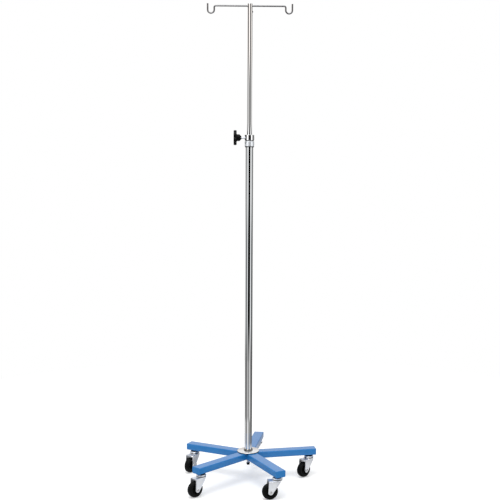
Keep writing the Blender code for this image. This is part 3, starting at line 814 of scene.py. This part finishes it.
def tyreMesh(sideStep, band, shoulder, shoulderFall, shoulderRound, treadHalf, treadRound):
    radius = axlePoint.z
    tread = radius - hair
    half = tyreHigh.y
    side = half - sideStep
    rimOuter = wheelShape["rimOuter"]
    profile = [(rimOuter - fine, wheelShape["rimHalf"] + fine, fine)]
    profile += [(rimOuter + out, up, soft) for out, up in zip(band, (side, half, half, side))]
    profile.append((tread - shoulder, side - shoulderFall, shoulderRound))
    profile.append((tread - crisp, treadHalf, treadRound))
    profile += [(tread, soft, thin), (radius, crisp, hair)]  # the mould's seam
    return onAxle(turned(mirroredProfile(profile), around=96))


crownShape = {"radius": 0.0185, "race": 0.015, "raceTaper": 0.002, "edge": 0.0006,
              "brim": ((-0.0008, 0.0002, 0.0006), (0.0, -0.0007, 0.0006))}


def crownMesh(radius, race, raceTaper, edge, brim):
    bore = pinShape["radius"] + casterGap
    under = crownTop - forkShape["sheet"] - fine
    return turned([
        (bore, forkHigh.z, crisp), (race - raceTaper, forkHigh.z, edge), (race, crownTop + fine, edge),
        *cornersFrom(radius, crownTop, brim), (radius, under, edge), (bore, under, crisp)])


ballShape = {"radius": 0.0016, "count": 28, "ring": 0.0164, "cage": 0.0179}


# a black cage between the races: painted shade for the dark gap there
def cageMesh(cage, **others):
    inner = crownShape["race"] + thin
    low = crownTop + crisp
    high = cupUnder - hair
    return turned([(inner, high, 0), (cage, high, fine), (cage, low, fine), (inner, low, 0)])


def ballsMesh(radius, count, ring, **others):
    return settled(grownMesh(
        ballTree, "plain_steel", count=count, ringRadius=ring, ballRadius=radius,
        height=(0, 0, (crownTop + cupUnder) / 2)))


cupShape = {"topEdge": ((-0.0016, 0.0, 0.0022), (0.0, -0.0024, 0.0012)),
            "footEdge": ((0.0, 0.0004, 0.0007), (-0.0012, 0.0, 0.0005), (-0.0022, 0.0003, 0),
                         (-0.003, 0.0012, 0))}


def cupMesh(topEdge, footEdge):
    bore = pinShape["radius"] - hair
    outer = reachOf("caster_stem_1", stemFrame(1))
    over = cornersFrom(outer, cupTop, topEdge)
    under = cornersFrom(outer, cupUnder, footEdge)
    return turned([(bore, cupTop, 0), *over, *under, (bore, under[-1][1], 0)])


sealShape = {"radius": 0.015,
             "topEdge": ((-0.002, 0.0, 0.0008), (-0.0016, -0.0016, 0.0006), (0.0, -0.0024, 0.0005))}


def sealMesh(radius, topEdge):
    bore = pinShape["radius"] - hair
    foot = cupTop + hair
    return turned([
        (bore, sealTop, 0), *cornersFrom(radius, sealTop, topEdge), (radius, foot, fine), (bore, foot, 0)])


pinShape = {"radius": 0.005, "head": 0.008, "headFlat": 0.0048, "headRise": 0.0012, "headHeight": 0.0028}


def kingpinMesh(radius, head, headFlat, headRise, headHeight):
    top = stemLow + headHeight
    return turned([
        (0, stemLow, 0), (headFlat, stemLow, full), (head, stemLow + headRise, full), (head, top, fine),
        (radius, top, 0), (radius, sealTop, 0), (0, sealTop, 0)], around=48)


socketWeld = 0.0009


def socketMesh(weld):
    outer = reachOf("caster_socket_1", stemFrame(1))
    bore = pinShape["radius"] + blunt
    top = legUnder + crisp
    return turned([
        (bore, socketLow, fine), (outer, socketLow, crisp), (outer, legUnder - weld, crisp),
        (outer + weld, top, 0), (bore, top, 0)])


def makeCasters():
    # name, shape, body, slot, and the node it stands for
    pieces = (
        ("casterSocket", socketMesh(socketWeld), "base", "blue_paint", "caster_socket"),
        ("dustSeal", sealMesh(**sealShape), "base", "black_rubber", "caster_stem"),
        ("raceCup", cupMesh(**cupShape), "base", "zinc_plate", "caster_stem"),
        ("kingpin", kingpinMesh(**pinShape), "base", "zinc_plate", "caster_stem"),
        ("forkPlates", forkMesh(**forkShape), "caster", "zinc_plate", "caster_fork"),
        ("forkCrown", crownMesh(**crownShape), "caster", "zinc_plate", "caster_fork"),
        ("ballCage", cageMesh(**ballShape), "caster", "black_plastic", None),
        ("raceBalls", ballsMesh(**ballShape), "caster", "plain_steel", None),
        ("axleBolt", boltMesh(**axleShape), "caster", "plain_steel", "caster_axle"),
        ("axleWashers", washersMesh(**axleShape), "caster", "zinc_plate", "caster_axle"),
        ("wheelCore", coreMesh(**wheelShape), "wheel", "black_plastic", "wheel_core"),
        ("wheelTyre", tyreMesh(**tyreShape), "wheel", "black_rubber", "wheel_tyre"))
    for number in standNumbers:
        matrix = casterFrame(number)
        for name, mesh, body, slot, node in pieces:
            rider = body if body == "base" else f"{body}_{number}"
            stoodFor = [f"{node}_{number}"] if node else []
            addPiece(f"{name}_{number}", moved(mesh, matrix), rider, slot, *stoodFor)


makeCasters()
print("casters made")


# Pole, flange and the fixings under the hub

poleGap = 0.0003  # between pieces that fit into each other

tieRadius = reachOf("tie_stud")
upRadius = reachOf("upper_tube")
hole = reachOf("lower_tube") + poleGap
slip = upRadius + poleGap

tubeShape = {"wall": 0.0015, "upperWall": 0.0012}


def tubeMesh(node, wall, inEdge, topEdge, around):
    low, high, radius = spanOf(node)
    bore = radius - wall
    tube = [(bore, high, inEdge), (radius, high, topEdge), (radius, low, fine), (bore, low, inEdge)]
    return turned(tube, around)


def makeTubes(wall, upperWall):
    lower = tubeMesh("lower_tube", wall, fine, soft, around=96)
    addPiece("lowerTube", lower, "base", "chrome_plate", "lower_tube")
    upper = tubeMesh("upper_tube", upperWall, crisp, fine, around=80)
    addPiece("upperTube", upper, "upper_pole", "chrome_plate", "upper_tube")

    low, high, _ = spanOf("top_plug")
    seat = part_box("upper_tube")[1].z + poleGap / 2
    cap = upRadius - poleGap
    shank = upRadius - upperWall - poleGap
    plug = [(0, high, 0), (cap, high, soft), (cap, seat, 0), (shank, seat, 0), (shank, low, soft),
            (0, low, 0)]
    plug = turned(plug, around=64)
    addPiece("topPlug", plug, "upper_pole", "plain_steel", "top_plug", look="chrome_plate")


flangeShape = {"rim": 0.0036, "rise": 0.005, "gasket": 0.0022, "neckWall": 0.003, "foot": 0.002,
               "sweep": 0.004, "ringFall": 0.0016}


def makeFlange(rim, rise, gasket, neckWall, foot, sweep, ringFall):
    low, high, radius = spanOf("pole_flange")
    neck = hole + neckWall
    top = low + rise
    under = low + gasket
    edge = radius - crisp
    plate = [(hole, top, crisp), (neck + foot, top, sweep), (radius - fine, low + rim, full),
             (radius, under, fine), (hole, under, crisp)]
    addPiece("poleFlange", turned(plate, around=128), "base", "chrome_plate", "pole_flange")
    # a black ring under the plate's rim: painted shade for the shadow line along the plate's lower edge
    shadeRingProfile = [(hole, under, 0), (edge, under, crisp), (edge, low, crisp), (hole, low, 0)]
    addPiece("flangeShadeRing", turned(shadeRingProfile, around=128), "base", "black_rubber", "pole_flange")
    # the foot ring takes the dark steel look: its darker colour is painted reflection, standing in for
    # chrome that mirrors dark surroundings
    ring = [(hole, high, fine), (neck - soft, high, full), (neck, high - ringFall, soft), (neck, top, 0),
            (hole, top, 0)]
    addPiece("footRing", turned(ring, around=96), "base", "chrome_plate", "pole_flange", look="drawn")


collarShape = {"trim": 0.001, "lowEdge": 0.0005}


def makeCollar(trim, lowEdge):
    low, high, radius = spanOf("clamp_collar")
    top = high - trim
    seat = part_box("lower_tube")[1].z + poleGap
    collar = [(slip, top, soft), (radius, top, soft), (radius, low + full, lowEdge),
              (radius - blunt, low, crisp), (hole, low, crisp), (hole, seat, 0), (slip, seat, 0)]
    addPiece("clampCollar", turned(collar, around=96), "base", "chrome_plate", "clamp_collar")


sleeveShape = {"lip": 0.0036, "lipRound": 0.0055, "lipStep": 0.0007, "groove": 0.0024, "grooveDepth": 0.0022}


def makeSleeve(lip, lipRound, lipStep, groove, grooveDepth):
    low, high, radius = spanOf("collar_sleeve")
    lipTop = low + lip
    grooveLow = high - groove
    neck = radius - grooveDepth
    # the lip and the neck are dark metal: painted shade for the shadow lines at the sleeve's lower and upper
    # edges; the neck also sits in a real groove
    rings = {
        ("collarSleeve", "satin"): [
            (hole, grooveLow, fine), (radius, grooveLow, full), (radius, lipTop, fine), (hole, lipTop, 0)],
        ("sleeveLip", "drawn"): [
            (hole, lipTop, 0), (radius - lipStep, lipTop, crisp), (radius - full, low, lipRound),
            (hole, low, fine)],
        ("sleeveNeck", "blackened"): [
            (hole, high, 0), (neck, high, thin), (neck, grooveLow, 0), (hole, grooveLow, 0)]}
    for (name, look), profile in rings.items():
        addPiece(name, turned(profile, around=96), "base", "chrome_plate", "collar_sleeve", look=look)


tieShape = {"pitch": 0.0015, "nutChamfer": 0.0016}


def makeTie(pitch, nutChamfer):
    low, high, rim = spanOf("tie_washer")
    studLow, studHigh, _ = spanOf("tie_stud")
    stud = studMesh(tieRadius, pitch, studLow, studHigh, soft, studLow + full, low)
    addPiece("tieStud", stud, "base", "plain_steel", "tie_stud", look="zinc_plate")
    washer = [(tieRadius, high, 0), (rim, high, fine), (rim, low, fine), (tieRadius, low, 0)]
    addPiece("tieWasher", turned(washer), "base", "zinc_plate", "tie_washer")
    nutLow, nutHigh, tip = spanOf("tie_nut")
    nut = hexMesh(2 * tip * cos(pi / 6), nutLow, nutHigh, tieRadius - thin, nutChamfer)
    addPiece("tieNut", nut, "base", "zinc_plate", "tie_nut")


capShape = {"flat": 0.003, "bend": 0.002, "rise": 0.0012, "lipFoot": 0.0018, "lip": 0.0014, "floor": 0.003}


def makeTieCap(flat, bend, rise, lipFoot, lip, floor):
    low, high, rim = spanOf("tie_end_cap")
    bore = tieRadius - fine
    inside = low + floor
    cap = turned([
        (0, low, 0), (flat, low, bend), (rim - soft, low + rise, bend), (rim - fine, high - lipFoot, crisp),
        (rim, high - lip, crisp), (rim, high, fine), (bore, high, 0), (bore, inside, 0), (0, inside, 0)],
        around=48)
    addPiece("tieCap", cap, "base", "black_rubber", "tie_end_cap")


makeTubes(**tubeShape)
makeFlange(**flangeShape)
makeCollar(**collarShape)
makeSleeve(**sleeveShape)
makeTie(**tieShape)
makeTieCap(**capShape)
print("pole made")


# Height clamp

# noseEdge, coneEdge and discRoot are (out, up) from a corner of the knob, and the rows after them
# (in or out, share of the dish's depth)
knobShape = {
    "lobes": 6, "lobeDepth": 0.0048, "lobeBlend": 1.4, "edge": 0.0032, "edgeSteps": 8, "disc": 0.0115,
    "hub": 0.013, "cone": 0.0065, "nose": 0.00625, "bore": 0.0036, "dish": 0.0012, "boss": 0.0105,
    "around": 180,
    "noseEdge": ((-0.0006, 0.0), (-0.0002, 0.0002), (0.0, 0.0007)),
    "coneEdge": ((-0.0014, -0.0006), (-0.0004, 0.0), (0.0, 0.0008)),
    "discRoot": ((0.0, -0.0022), (0.0005, -0.001), (0.0016, -0.0002), (0.003, 0.0)),
    "dishEdge": ((0.0014, 0.0), (0.0022, 0.4), (0.0036, 0.9), (0.006, 1.0)),
    "bossEdge": ((0.0016, 1.0), (0.0004, 0.9), (0.0, 0.5), (-0.0005, 0.1), (-0.0014, 0.0)),
    "pit": ((0.0045, 0.0), (0.004, 0.15), (0.0038, 0.5), (0.001, 0.5))}
clampFrame = Matrix.Translation((0, 0, jointPlace("knob_turn").z)) @ Matrix.Rotation(-pi / 2, 4, "Y")


def knobMesh(lobes, lobeDepth, lobeBlend, edge, edgeSteps, disc, hub, cone, nose, bore, dish, boss, around,
             noseEdge, coneEdge, discRoot, dishEdge, bossEdge, pit):
    low, high, radius = spanOf("clamp_knob", clampFrame)
    discLow = high - disc

    def lobed(inset):
        # outline of the lobes, drawn in by the inset
        def reach(angle):
            wave = 0.5 - 0.5 * cos(lobes * angle)
            return radius - lobeDepth * wave ** lobeBlend - inset
        return reach

    levels = [(bore, low)]
    levels += [(nose + out, low + up) for out, up in noseEdge]
    levels += [(hub + out, low + cone + up) for out, up in coneEdge]
    levels += [(hub + out, discLow + up) for out, up in discRoot]
    for step in range(edgeSteps + 1):
        turn = pi * step / edgeSteps
        middle = discLow + edge if step <= edgeSteps / 2 else high - edge
        levels.append((lobed(edge * (1 - sin(turn))), middle - edge * cos(turn)))
    levels += [(lobed(edge + inset), high - dish * share) for inset, share in dishEdge]
    levels += [(boss + out, high - dish * share) for out, share in bossEdge]
    levels += [(out, high - dish * share) for out, share in pit]
    return settled(levelsMesh(levels, around, capStart=True, capEnd=True), sharpAngle=42)


clampShape = {"pitch": 0.00125, "tipEdge": 0.0005, "threadStart": 0.0012}


def makeClamp(pitch, tipEdge, threadStart):
    knob = knobMesh(**knobShape)
    addPiece("clampKnob", moved(knob, clampFrame), "knob", "black_plastic", "clamp_knob")
    low, high, radius = spanOf("clamp_stud", clampFrame)
    stud = studMesh(radius, pitch, low, high, tipEdge, low + threadStart, high - full)
    addPiece("clampStud", moved(stud, clampFrame), "knob", "zinc_plate", "clamp_stud")


makeClamp(**clampShape)
print("clamp made")


# Hook rod and its set screw

# one hook's points lie past farFrom, and the level bar's within barTo of the middle
hookShape = {"rod": 0.003, "mouth": 0.0125, "bend": 0.006, "bendSteps": 14, "endEdge": 0.0009,
             "farFrom": 0.1, "barTo": 0.135}


def makeHooks(rod, mouth, bend, bendSteps, endEdge, farFrom, barTo):
    points = pointsOf("hook_rod")
    far = [point for point in points if point.x > farFrom]
    matrix = Matrix.Rotation(headingOf(sum(far, Vector()) / len(far)), 4, "Z")
    low, high = cornersOf("hook_rod", matrix)
    barZ = max(point.z for point in points if abs(point.x) < barTo) - rod
    bottom = low.z + rod
    outer = high.x - rod
    inner = outer - 2 * mouth
    half = [(outer, 0, high.z), (outer, 0, bottom), (inner, 0, bottom), (inner, 0, barZ)]
    bends = [0.0, mouth, mouth, bend]
    path = half + [(-x, y, z) for x, y, z in reversed(half)]
    line = lineMesh([path], bends + bends[::-1])
    # the rod's dark steel colour is painted reflection, dark as chrome that mirrors a dark room
    hooks = grownMesh(rodTree, "drawn", line, rodRadius=rod, bendSteps=bendSteps)
    hooks = settled(hooks, sharpAngle=60, bevel=endEdge)
    addPiece("hookRod", moved(hooks, matrix), "upper_pole", "plain_steel", "hook_rod", look="drawn")


screwShape = {"key": 0.003, "keyDepth": 0.0026, "around": 36}


def makeScrew(key, keyDepth, around):
    low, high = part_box("hook_set_screw")
    middle = (low + high) / 2
    outward = Vector((middle.x, middle.y, 0)).normalized()
    turn = outward.to_track_quat("Z", "Y").to_matrix().to_4x4()
    place = Matrix.Translation((0, 0, middle.z)) @ turn
    inner, outer, radius = spanOf("hook_set_screw", place)
    levels = [(radius, inner), (radius, outer - crisp), (radius - crisp, outer)]
    levels += [(lambda angle: hexEdge(key / 2, angle), z) for z in (outer, outer - keyDepth)]
    screw = settled(levelsMesh(levels, around, capStart=True, capEnd=True), sharpAngle=30)
    addPiece("hookScrew", moved(screw, place), "upper_pole", "black_plastic", "hook_set_screw",
             look="blackened")


makeHooks(**hookShape)
makeScrew(**screwShape)
print("hooks made")

# inner pieces that show as their solids
keptNodes = {"guide_bush": "white_nylon", "slide_bush": "white_nylon", "clamp_pad": "white_nylon",
             "pole_foot_plug": "plain_steel"}
for node, slot in keptNodes.items():
    mesh = frame["nodes"][node].data
    mesh.materials.clear()
    mesh.materials.append(finishes[slot])


# Camera and studio

photoCamera = {"distance": 3.296, "height": 1.153, "pitch": 0.0745, "roll": 0.0094, "yaw": 0.0716,
               "lens": 61.37, "sensor": 36.0, "shift": -0.12}


def makeCamera(distance, height, pitch, roll, yaw, lens, sensor, shift):
    optics = bpy.data.cameras.new("photo camera")
    optics.sensor_width = sensor
    optics.lens = lens
    optics.shift_x = shift
    optics.dof.use_dof = False
    camera = placed("photo camera", optics)
    turn = Matrix.Rotation(-yaw, 4, "Z") @ Matrix.Rotation(pi / 2 - pitch, 4, "X")
    turn = turn @ Matrix.Rotation(roll, 4, "Z")
    camera.matrix_world = Matrix.Translation((0, -distance, height)) @ turn
    scene.camera = camera


def grey(level):
    return (level, level, level, 1.0)


def mixed(factor, first, second):
    node = addNode(factor.id_data, "Mix", factor=factor)
    node.data_type = "RGBA"
    feed(node.inputs[6], first)  # a Mix node's colours, past its numbers and vectors
    feed(node.inputs[7], second)
    return node.outputs[2]


def between(source, low, high):
    node = addNode(source.id_data, "MapRange", value=source, fromMin=low, fromMax=high)
    node.interpolation_type = "SMOOTHSTEP"
    return node.outputs["Result"]


def bearingShare(place):
    # 0 to 1 round the stand, with 0.5 towards the photo's camera
    parts = addNode(place.id_data, "SeparateXYZ", vector=place).outputs
    bearing = sums("ARCTAN2", parts["X"], sums("MULTIPLY", parts["Y"], -1.0))
    return sums("ADD", sums("DIVIDE", bearing, 2 * pi), 0.5), parts


# grey by bearing in degrees, as bright metal sees the room, row by row from the floor up
roomCards = {
    "foot": ((-150, 0.25), (-130, 0.25), (-118, 0.52), (-80, 0.5), (-70, 0.18), (-43, 0.18), (-36, 0.8),
             (-10, 0.8), (-3, 0.4), (24, 0.34), (57, 0.24), (97, 0.12), (150, 0.12), (165, 0.6)),
    "lower": ((-150, 0.2), (-135, 0.25), (-95, 0.28), (-82, 0.16), (-52, 0.16), (-42, 0.48), (-20, 0.48),
              (-10, 0.2), (10, 0.2), (22, 0.74), (44, 0.74), (56, 0.24), (82, 0.22), (95, 0.08), (150, 0.08),
              (165, 0.6)),
    "below": ((-150, 0.68), (-110, 0.68), (-103, 0.15), (-65, 0.15), (-59, 0.9), (-37, 1), (-33, 0),
              (37, 0), (41, 1.15), (64, 1), (71, 0.12), (150, 0.2)),
    "middle": ((-150, 0.12), (-130, 0.14), (-122, 0.42), (-84, 0.4), (-76, 0.74), (-46, 0.76), (-40, 1.05),
               (-29, 1.2), (-26, 0), (33, 0), (36, 1.3), (49, 1.15), (56, 0.8), (84, 0.7), (92, 0.22),
               (150, 0.2)),
    "clamp": ((-150, 0.02), (-108, 0.02), (-98, 0.42), (-72, 0.42), (-64, 1.5), (-42, 1.5), (-36, 1.2),
              (-26, 1.2), (-23, 0), (38, 0), (42, 1.6), (62, 1.6), (68, 0.55), (94, 0.5), (101, 0.16),
              (150, 0.16)),
    "raised": ((-150, 0.75), (-120, 0.42), (-86, 0.42), (-76, 0.74), (-34, 0.74), (-26, 0.3), (60, 0.3),
               (72, 0.74), (140, 0.72), (150, 0.75)),
    "high": ((-165, 0.8), (-140, 1), (-106, 1), (-98, 0.12), (-47, 0.12), (-41, 1.5), (-1, 1.5), (5, 0.06),
             (46, 0.06), (52, 1), (106, 0.95), (114, 0), (148, 0), (160, 0.8)),
}
roomTints = {"below": (0.97, 1.0, 1.01), "middle": (0.985, 1.0, 1.0), "raised": (1.0, 0.985, 0.97),
             "high": (1.0, 0.945, 0.905)}


def cards(share, row):
    tint = roomTints.get(row, (1.0, 1.0, 1.0))
    stops = [(0.5 + angle / 360, tuple(level * part for part in tint)) for angle, level in roomCards[row]]
    return ramp(share, stops)


# starts and ends are distances from the pole between which bright metal sees the floor change: painted shade
# near the pole, then painted room cards further out
floorShape = {"radius": 2.3, "around": 96, "drop": 0.0002, "pale": 0.8, "glow": 0.3, "shade": 0.3,
              "shadeEnd": (0.17, 0.24), "footStart": (0.4, 0.5), "lowerStart": (0.8, 0.95)}


def makeFloor(radius, around, drop, pale, glow, shade, shadeEnd, footStart, lowerStart):
    def build(shape):
        bmesh.ops.create_circle(shape, cap_ends=True, segments=around, radius=radius)

    floor = placed("floor", closedMesh(build))
    floor.location.z = -drop
    constants = {"Specular IOR Level": 0.0, "Emission Color": grey(1.0)}
    finish = makeFinish("pale floor", 0.9, 0.0, constants=constants)
    floor.data.materials.append(finish)
    tree = finish.node_tree
    shader = tree.nodes["Principled BSDF"]
    rays = addNode(tree, "LightPath").outputs
    place = addNode(tree, "TexCoord").outputs["Object"]
    length = addNode(tree, "VectorMath")
    length.operation = "LENGTH"
    feed(length.inputs[0], place)
    away = length.outputs["Value"]
    share = bearingShare(place)[0]
    # bright metal sees the floor with painted shade under the legs and painted reflections of the room's
    # cards; other rays see it plain
    room = mixed(between(away, *shadeEnd), grey(shade), grey(pale))
    room = mixed(between(away, *footStart), room, cards(share, "foot"))
    room = mixed(between(away, *lowerStart), room, cards(share, "lower"))
    feed(shader.inputs["Base Color"], mixed(rays["Is Glossy Ray"], grey(pale), room))
    feed(shader.inputs["Emission Strength"], sums("MULTIPLY", rays["Is Camera Ray"], glow))
    # clear when looked at from below
    facing = addNode(tree, "NewGeometry").outputs["Backfacing"]
    blend = addNode(tree, "MixShader", fac=sums("MULTIPLY", facing, rays["Is Camera Ray"]))
    feed(blend.inputs[1], shader)
    feed(blend.inputs[2], addNode(tree, "BsdfTransparent"))
    feed(tree.nodes["Material Output"].inputs["Surface"], blend)


# limits of the room are parts of a unit direction, and the beam's go from clear to dark
roomShape = {"fill": 0.8, "whiteStart": (0.22, 0.36), "beamGrey": 0.02, "beamStart": (0.21, 0.26),
             "beamEnd": (0.7, 0.5), "beamSide": (0.14, 0.08)}
# heights, as sines, between which each row takes over from the one under it
rowStarts = {"below": (-0.21, -0.15), "middle": (-0.075, -0.005), "clamp": (0.04, 0.053),
             "raised": (0.058, 0.074), "high": (0.11, 0.16)}


def makeWorld(fill, whiteStart, beamGrey, beamStart, beamEnd, beamSide):
    # white to the camera, plain fill for paint, and a room of pale and dark cards for bright metal
    world = bpy.data.worlds.new("studio")
    scene.world = world
    world.use_nodes = True
    tree = world.node_tree
    share, parts = bearingShare(addNode(tree, "TexCoord").outputs["Generated"])
    height = parts["Z"]
    room = cards(share, "lower")
    for row, limits in rowStarts.items():
        room = mixed(between(height, *limits), room, cards(share, row))
    room = mixed(between(height, *whiteStart), room, grey(1.0))
    # a dark beam overhead, from the photo's camera to a little past the pole
    beam = sums("MULTIPLY", between(height, *beamStart), between(parts["Y"], *beamEnd))
    beam = sums("MULTIPLY", beam, between(sums("ABSOLUTE", parts["X"]), *beamSide))
    room = mixed(beam, room, grey(beamGrey))
    rays = addNode(tree, "LightPath").outputs
    shown = mixed(rays["Is Glossy Ray"], grey(fill), room)
    shown = mixed(rays["Is Camera Ray"], shown, grey(1.0))
    feed(tree.nodes["Background"].inputs["Color"], shown)


lampShape = {"size": 2.4, "power": 60.0, "place": (-0.5, -1.2, 3.4), "tilt": 20}


def makeLamp(size, power, place, tilt):
    # one broad soft lamp overhead
    lamp = bpy.data.lights.new("overhead", "AREA")
    lamp.shape = "DISK"
    lamp.size = size
    lamp.energy = power
    overhead = placed("overhead", lamp)
    overhead.matrix_world = Matrix.Translation(place) @ Matrix.Rotation(radians(tilt), 4, "X")
    overhead.visible_camera = False


makeCamera(**photoCamera)
makeFloor(**floorShape)
makeWorld(**roomShape)
makeLamp(**lampShape)
scene.view_settings.view_transform = "Standard"
print("studio made")
